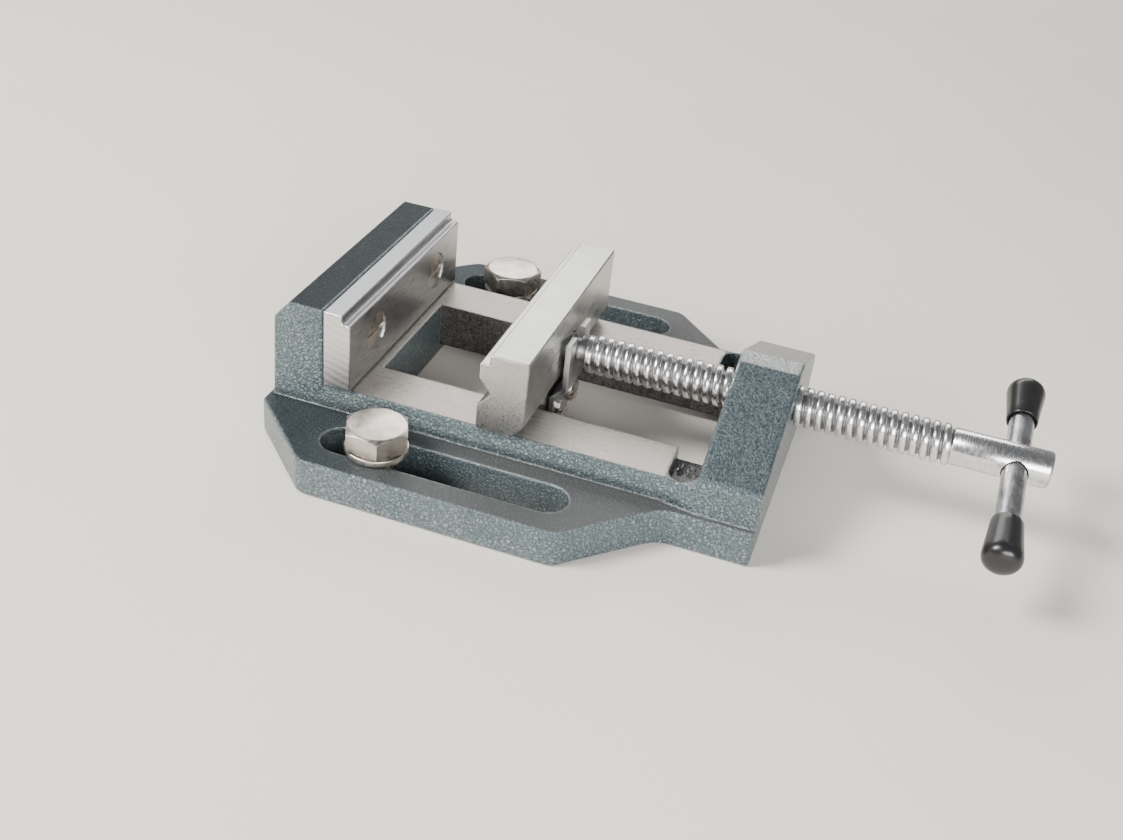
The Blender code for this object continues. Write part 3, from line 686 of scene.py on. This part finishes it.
def build_bolt(word, material):
    """A hexagon bolt: turned crown with a washer face, and a plain shank without its thread."""
    node = "hold_down_bolt_" + word
    low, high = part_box(node)
    middle = (low + high) / 2
    washer_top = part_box("spring_washer_" + word)[1].z / MM
    top = high.z / MM
    head = washer_top + 0.1
    corner = BOLT_FLAT_R / math.cos(math.pi / 6)
    up = axis_frame((0, 0, 1), (middle.x, middle.y, 0))
    bm = bmesh.new()
    rings = []
    for level in (head + 0.35, top + 0.5):
        ring = []
        for k in range(6):
            angle = math.radians(60 * k + BOLT_TURN[word])
            offset = Vector((math.cos(angle), math.sin(angle), 0)) * corner * MM
            ring.append(bm.verts.new(Vector((middle.x, middle.y, level * MM)) + offset))
        rings.append(ring)
    bm.faces.new(rings[0])
    bm.faces.new(rings[1])
    for k in range(6):
        n = (k + 1) % 6
        bm.faces.new((rings[0][k], rings[0][n], rings[1][n], rings[1][k]))
    piece = new_object(node + "_forged", bm, material, "bolt_" + word, node)
    crown = [(head - 2.0, 0), (head - 2.0, corner + 1.0), (top - 0.95, corner + 0.05), (top - 0.12, 8.3)]
    crown += [(top - 0.03, 8.1), (top, 7.9), (top, 0)]
    apply_cut(piece, hidden_cutter("crown", lathe(bmesh.new(), crown, up, 72)), "INTERSECT")
    bm = bmesh.new()
    bm.from_mesh(piece.data)
    face = [(head + 0.36, 0), (head + 0.36, 7.9), (head, 7.8), (head, 0)]
    lathe(bm, face, up)
    bottom = low.z / MM
    rod_profile = [(bottom, 0), (bottom, 4.1), (bottom + 0.9, 4.9), (head + 0.3, 4.9), (head + 0.3, 0)]
    lathe(bm, rod_profile, up, 40)
    bmesh.ops.recalc_face_normals(bm, faces=bm.faces)
    bm.to_mesh(piece.data)
    bm.free()
    shade_by_angle(piece.data, 25)


def build_washer(word, material):
    """A split spring washer with its ends lifted a little apart and rounded corners."""
    node = "spring_washer_" + word
    low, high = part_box(node)
    middle = (low + high) / 2
    outer_r = (high.y - low.y) / 2 / MM
    inner_r = WASHER_INNER_R
    thick = (high.z - low.z) / MM
    split = math.radians(WASHER_SPLIT)
    steps = 72
    section = []
    r0, r1, half, round_r = inner_r, outer_r, thick / 2 - 0.12, 0.35
    for cx, cz, start in (
        (r1 - round_r, half - round_r, 0),
        (r0 + round_r, half - round_r, 90),
        (r0 + round_r, -half + round_r, 180),
        (r1 - round_r, -half + round_r, 270),
    ):
        for k in range(4):
            angle = math.radians(start + 30 * k)
            section.append((cx + round_r * math.cos(angle), cz + round_r * math.sin(angle)))
    bm = bmesh.new()
    rings = []
    for k in range(steps + 1):
        share = k / steps
        angle = split / 2 + (2 * math.pi - split) * share + math.radians(WASHER_TURN)
        lift = (share - 0.5) * 0.24
        ring = []
        for radius, height in section:
            turned = angle + 0.12 * (radius - inner_r) / (outer_r - inner_r)
            local = Vector((radius * math.cos(turned), radius * math.sin(turned), height + lift)) * MM
            ring.append(bm.verts.new(local + Vector((middle.x, middle.y, middle.z))))
        rings.append(ring)
    count = len(section)
    for a, b in zip(rings, rings[1:]):
        for i in range(count):
            j = (i + 1) % count
            bm.faces.new((a[i], a[j], b[j], b[i]))
    bm.faces.new(rings[0])
    bm.faces.new(rings[-1])
    piece = new_object(node + "_coiled", bm, material, "washer_" + word, node)
    shade_by_angle(piece.data, 35)


def dress(node, material):
    """Gives a CAD node one finish on all its faces."""
    mesh = frame["nodes"][node].data
    mesh.materials.clear()
    mesh.materials.append(material)
    for polygon in mesh.polygons:
        polygon.material_index = 0


# ---------------------------------------------------------------- stage


def build_stage(floor_z):
    """The floor and the soft surround."""
    bpy.ops.mesh.primitive_plane_add(size=FLOOR_SIZE, location=(0.1, 0.0, floor_z - FLOOR_GAP))
    floor = bpy.context.object
    floor.name = "floor"
    floor.data.materials.append(floor_material())
    world = bpy.data.worlds.new("surround")
    bpy.context.scene.world = world
    world.use_nodes = True
    tree = world.node_tree
    tree.nodes.clear()
    output = tree.nodes.new("ShaderNodeOutputWorld")
    background = tree.nodes.new("ShaderNodeBackground")
    ramp = tree.nodes.new("ShaderNodeValToRGB")
    split = tree.nodes.new("ShaderNodeSeparateXYZ")
    source = tree.nodes.new("ShaderNodeTexCoord")
    tree.links.new(source.outputs["Generated"], split.inputs[0])
    tree.links.new(split.outputs[2], ramp.inputs[0])
    tree.links.new(ramp.outputs[0], background.inputs[0])
    tree.links.new(background.outputs[0], output.inputs[0])
    elements = ramp.color_ramp.elements
    elements[0].position = 0.0
    elements[0].color = (0.26, 0.25, 0.24, 1)
    elements[1].position = 1.0
    elements[1].color = (0.16, 0.165, 0.175, 1)
    middle = elements.new(0.35)
    middle.color = (0.34, 0.335, 0.33, 1)
    background.inputs[1].default_value = 1.0


def add_softbox(name, place, target, size, power, colour=(1, 1, 1)):
    """A rectangular area light aimed at a point."""
    light = bpy.data.lights.new(name, "AREA")
    light.shape = "RECTANGLE"
    light.size = size[0]
    light.size_y = size[1]
    light.energy = power
    light.color = colour
    lamp = bpy.data.objects.new(name, light)
    lamp.location = place
    aim = Vector(target) - Vector(place)
    lamp.rotation_mode = "QUATERNION"
    lamp.rotation_quaternion = aim.to_track_quat("-Z", "Y")
    bpy.context.scene.collection.objects.link(lamp)


def build_camera():
    """The camera, set by its azimuth and elevation and rolled about its line of sight."""
    azimuth = math.radians(CAMERA_AZIMUTH)
    elevation = math.radians(CAMERA_ELEVATION)
    roll = math.radians(CAMERA_ROLL)
    forward = Vector(
        (
            -math.sin(azimuth) * math.cos(elevation),
            math.cos(azimuth) * math.cos(elevation),
            -math.sin(elevation),
        )
    )
    right = forward.cross(Vector((0, 0, 1))).normalized()
    up = right.cross(forward)
    turned_right = right * math.cos(roll) + up * math.sin(roll)
    turned_up = up * math.cos(roll) - right * math.sin(roll)
    data = bpy.data.cameras.new("camera")
    data.sensor_width = SENSOR_WIDTH
    data.lens = CAMERA_LENS
    data.clip_start = 0.01
    data.clip_end = 20.0
    camera = bpy.data.objects.new("camera", data)
    rotation = Matrix((turned_right, turned_up, -forward)).transposed()
    camera.matrix_world = Matrix.Translation(Vector(CAMERA_PLACE) * MM) @ rotation.to_4x4()
    bpy.context.scene.collection.objects.link(camera)
    bpy.context.scene.camera = camera


def joint_named(name):
    return next(joint for joint in frame["joints"] if joint["name"] == name)


def paint_zones():
    """Where the casting's parts lie, in millimetres: from its neighbours, or close to the CAD."""
    body_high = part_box("vise_body")[1]
    plate_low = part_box("fixed_jaw_plate")[0]
    washer_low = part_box("spring_washer_near")[0]
    guide_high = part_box("guide_block")[1]
    return {
        "jaw_top": body_high.z / MM,
        "flange_top": washer_low.z / MM - 0.1,
        "slot_y": 53.7,
        "slot_start": -1.5,
        "slot_end": 72.2,
        "rail_top": guide_high.z / MM,
        "rail_half": 38.0,
        "plate_x": plate_low.x / MM,
        "rail_end": 94.3,
        "bridge_x": 103.7,
        "bridge_top": 39.0,
        "bridge_shoulder": 21.7,
        "channel_half": guide_high.y / MM + 0.4,
        "groove_floor": 13.2,
        "groove_end": 38.6,
    }


def main():
    screw = joint_named("screw_turn")
    slide = joint_named("bar_slide")
    point = Vector(screw["pos_m"])
    bar_low, bar_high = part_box("tommy_bar")
    bar_point = Vector(((bar_low.x + bar_high.x) / 2, 0.0, point.z))
    bar_line = Vector(slide["axis"]).normalized()

    body = body_material(paint_zones())
    plate = milled_plate()
    jaw = ground_steel("jaw_steel", (0.44, 0.44, 0.43), (0.66, 0.66, 0.64), (2.2, 0.14, 2.2))
    block = ground_steel("block_steel", (0.10, 0.095, 0.09), (0.24, 0.23, 0.22), (0.3, 2.0, 2.0))
    sheet = ground_steel(
        "sheet_steel", (0.74, 0.74, 0.73), (0.90, 0.90, 0.89), (0.5, 0.5, 0.2), (0.30, 0.42), depth=0.01
    )
    # The fasteners' warm tan tint is a painted reflection of wood nearby.
    zinc_with_wood_reflection = plated_steel("zinc_fastener", (0.52, 0.465, 0.41), (0.70, 0.645, 0.585), (0.26, 0.40))
    bar = plated_steel("bar_steel", (0.36, 0.37, 0.385), (0.56, 0.57, 0.585), (0.24, 0.36), (1.5, 0.25, 0.8))
    bright = thread_steel(point.z)
    plastic = moulded_black()

    dress("vise_body", body)
    dress("fixed_jaw_plate", plate)
    dress("movable_jaw", jaw)
    dress("guide_block", block)
    for node in ("keeper_plate", "retainer_plate"):
        dress(node, sheet)
    for word in ("near", "far"):
        for node in ("jaw_plate_screw_", "keeper_screw_", "retainer_screw_"):
            dress(node + word, zinc_with_wood_reflection)
        build_bolt(word, zinc_with_wood_reflection)
        build_washer(word, zinc_with_wood_reflection)
    build_lead_screw(bright, point, bar_line, bar_point)
    build_bar(bar, bar_point, bar_line)
    build_cap("near", 1, plastic, bar_point, bar_line)
    build_cap("far", -1, plastic, bar_point, bar_line)

    build_stage(0.0)
    centre = (0.06, 0.0, 0.01)
    add_softbox("back", (-0.25, 1.15, 0.80), centre, (1.3, 0.5), 11.0, (1.0, 0.985, 0.965))
    add_softbox("key", (-0.75, -0.45, 0.90), centre, (0.45, 0.45), 27.0, (1.0, 0.98, 0.95))
    add_softbox("front", (0.55, -1.00, 0.45), centre, (0.9, 0.45), 19.0, (0.98, 0.99, 1.0))
    build_camera()


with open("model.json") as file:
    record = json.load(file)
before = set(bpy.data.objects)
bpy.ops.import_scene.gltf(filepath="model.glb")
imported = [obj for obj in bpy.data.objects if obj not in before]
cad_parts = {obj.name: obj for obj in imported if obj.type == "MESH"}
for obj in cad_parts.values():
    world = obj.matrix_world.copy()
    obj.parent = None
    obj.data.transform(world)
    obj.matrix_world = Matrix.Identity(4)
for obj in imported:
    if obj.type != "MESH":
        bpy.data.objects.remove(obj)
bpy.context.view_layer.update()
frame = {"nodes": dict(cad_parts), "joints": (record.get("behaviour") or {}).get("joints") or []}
main()
